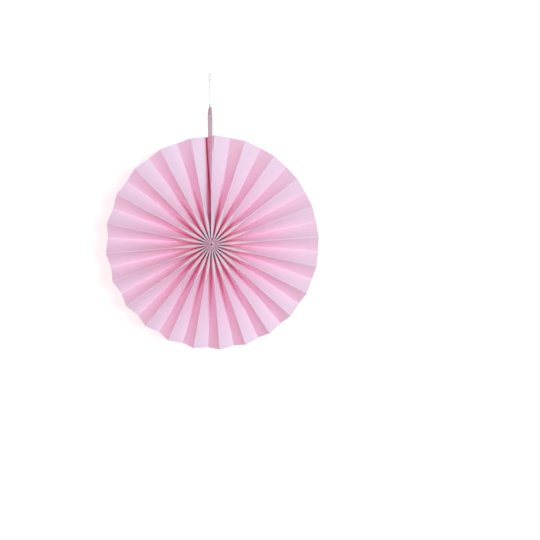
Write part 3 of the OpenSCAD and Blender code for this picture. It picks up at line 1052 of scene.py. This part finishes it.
class PAPER_FAN_OT_hanging_thread(bpy.types.Operator):
    """Lay the hanging thread through the tab and tie its knots"""

    bl_idname = "paper_fan.hanging_thread"
    bl_label = "Hanging Thread"

    def execute(self, context):
        fan = context.scene.paper_fan
        thread = fan.thread
        hole = hole_height(fan)
        # The tied end round the tab gets painted shade
        cotton = cotton_material("hanging_cotton", thread.cotton, (
            hole + TIED_SHADE_RUN[0] * MM, hole + TIED_SHADE_RUN[1] * MM, thread.shaded_tied_cotton))
        tree = twisted_thread_tree()
        line = smooth_line([tab_place(fan, point) for point in THREAD_ROUTE])
        piece = thread_piece(
            "hanging_thread_cotton", line, False, thread.hanging / 2, thread.lay, cotton, tree)
        knots = []
        for name, up in (("lower_knot", LOWER_KNOT), ("upper_knot", UPPER_KNOT)):
            strand = thread.hanging * KNOT_STRAND
            knots.append(thread_piece(
                name, knot_line(fan, up, thread.knot / 2 - strand), True, strand, thread.lay, cotton, tree))
        for one in [piece] + knots:
            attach(one, "root")
        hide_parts("hanging_thread")
        return {"FINISHED"}


class PAPER_FAN_OT_pleated_paper(bpy.types.Operator):
    """Fold the paper strip and open it into the disc"""

    bl_idname = "paper_fan.pleated_paper"
    bl_label = "Pleated Paper"

    def execute(self, context):
        fan = context.scene.paper_fan
        pleat = fan.pleat
        width = panel_width(pleat)
        off = panel_offset(fan)
        hub = math.sqrt((pleat.hub_hole / 2) ** 2 - off ** 2)
        piece = new_piece("pleated_sheet", bpy.data.meshes.new("pleated_sheet"))
        grown(piece, pleated_paper_tree(pleat), {
            "Rim Radius": pleat.rim_radius, "Creases": float(2 * pleat.pleats), "Panel Width": width,
            "Panel Offset": off, "Opening Swing": pleat.opening_swing, "Seam Twist": pleat.seam_twist,
            "Thickness": pleat.thickness, "Hub Height": hub, "Fold Bulge": pleat.bulge,
            "Panel Bow": pleat.bow, "Stitch Radius": fan.thread.binding_radius,
            "Material": paper_material(pleat)})
        piece.data.set_sharp_from_angle(angle=PAPER_SHARP)
        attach(piece, "root")
        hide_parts("pleated_paper")
        return {"FINISHED"}


class PAPER_FAN_OT_end_cards(bpy.types.Operator):
    """Cut the two end cards and the adhesive strip between them"""

    bl_idname = "paper_fan.end_cards"
    bl_label = "End Cards and Adhesive"

    def execute(self, context):
        fan = context.scene.paper_fan
        card = fan.card
        half = panel_width(fan.pleat) / 2 - card.margin
        near = card_inside(card)
        far = near + card.thickness
        faces = card_material("end_card", card.face, FACE_FIBRES)
        # The cut edges take painted shade below the rim, fading to the paper's colour further down
        core = card_material(
            "card_core", card.core, CORE_FIBRES, (fan.pleat.rim_radius, card.painted_shade, fan.pleat.paper))
        outline = card_outline(fan, half, card.start, hole_height(fan))
        for name, node, off_a, off_b in (
                ("left_card", "left_end_card", -far, -near), ("right_card", "right_end_card", near, far)):
            piece = seam_layer(fan, name, outline, off_a, off_b, (faces, core), card.edge_bevel)
            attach(piece, "root")
            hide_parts(node)
        tape = tape_material(card.tape)
        outline = strip_outline(
            TAPE_COLUMNS, half - card.adhesive_margin, card.start, fan.pleat.rim_radius + card.adhesive_rise)
        piece = seam_layer(fan, "adhesive_tape", outline, -card.adhesive / 2, card.adhesive / 2, (tape, tape), 0.0)
        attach(piece, "root")
        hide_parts("adhesive_strip")
        return {"FINISHED"}


class PAPER_FAN_OT_binding_thread(bpy.types.Operator):
    """Wind the thread ring that binds the inner edges of the panels"""

    bl_idname = "paper_fan.binding_thread"
    bl_label = "Binding Thread"

    def execute(self, context):
        thread = context.scene.paper_fan.thread
        line = [
            thread.binding_radius * Vector((math.sin(turn), 0.0, math.cos(turn))) for turn in turns(RING_POINTS)]
        around = 2 * math.pi * thread.binding_radius
        piece = thread_piece(
            "binding_ring", line, True, thread.binding / 2, around / round(around / thread.lay),
            cotton_material("binding_cotton", thread.binding_cotton), twisted_thread_tree())
        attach(piece, "root")
        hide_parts("binding_thread")
        return {"FINISHED"}


class PAPER_FAN_PT_sidebar(bpy.types.Panel):
    """Settings and steps of the paper fan"""

    bl_idname = "PAPER_FAN_PT_sidebar"
    bl_label = "Paper Fan"
    bl_space_type = "VIEW_3D"
    bl_region_type = "UI"
    bl_category = "Paper Fan"

    def draw(self, context):
        fan = context.scene.paper_fan
        for step in STEPS:
            self.layout.operator(step.bl_idname)
        for group in (fan.pleat, fan.card, fan.thread, fan.stage):
            box = self.layout.box()
            for name in group.__annotations__:
                box.prop(group, name)


STEPS = (
    PAPER_FAN_OT_stage, PAPER_FAN_OT_hanging_thread, PAPER_FAN_OT_end_cards, PAPER_FAN_OT_pleated_paper,
    PAPER_FAN_OT_binding_thread)
CLASSES = (
    PleatSettings, CardSettings, ThreadSettings, StageSettings, FanSettings, *STEPS, PAPER_FAN_PT_sidebar)


def register():
    for one in CLASSES:
        bpy.utils.register_class(one)
    bpy.types.Scene.paper_fan = PointerProperty(type=FanSettings)


def unregister():
    del bpy.types.Scene.paper_fan
    for one in reversed(CLASSES):
        bpy.utils.unregister_class(one)


def main():
    register()
    bpy.ops.paper_fan.stage()
    bpy.ops.paper_fan.hanging_thread()
    bpy.ops.paper_fan.end_cards()
    bpy.ops.paper_fan.pleated_paper()
    bpy.ops.paper_fan.binding_thread()


if __name__ == "__main__":
    main()
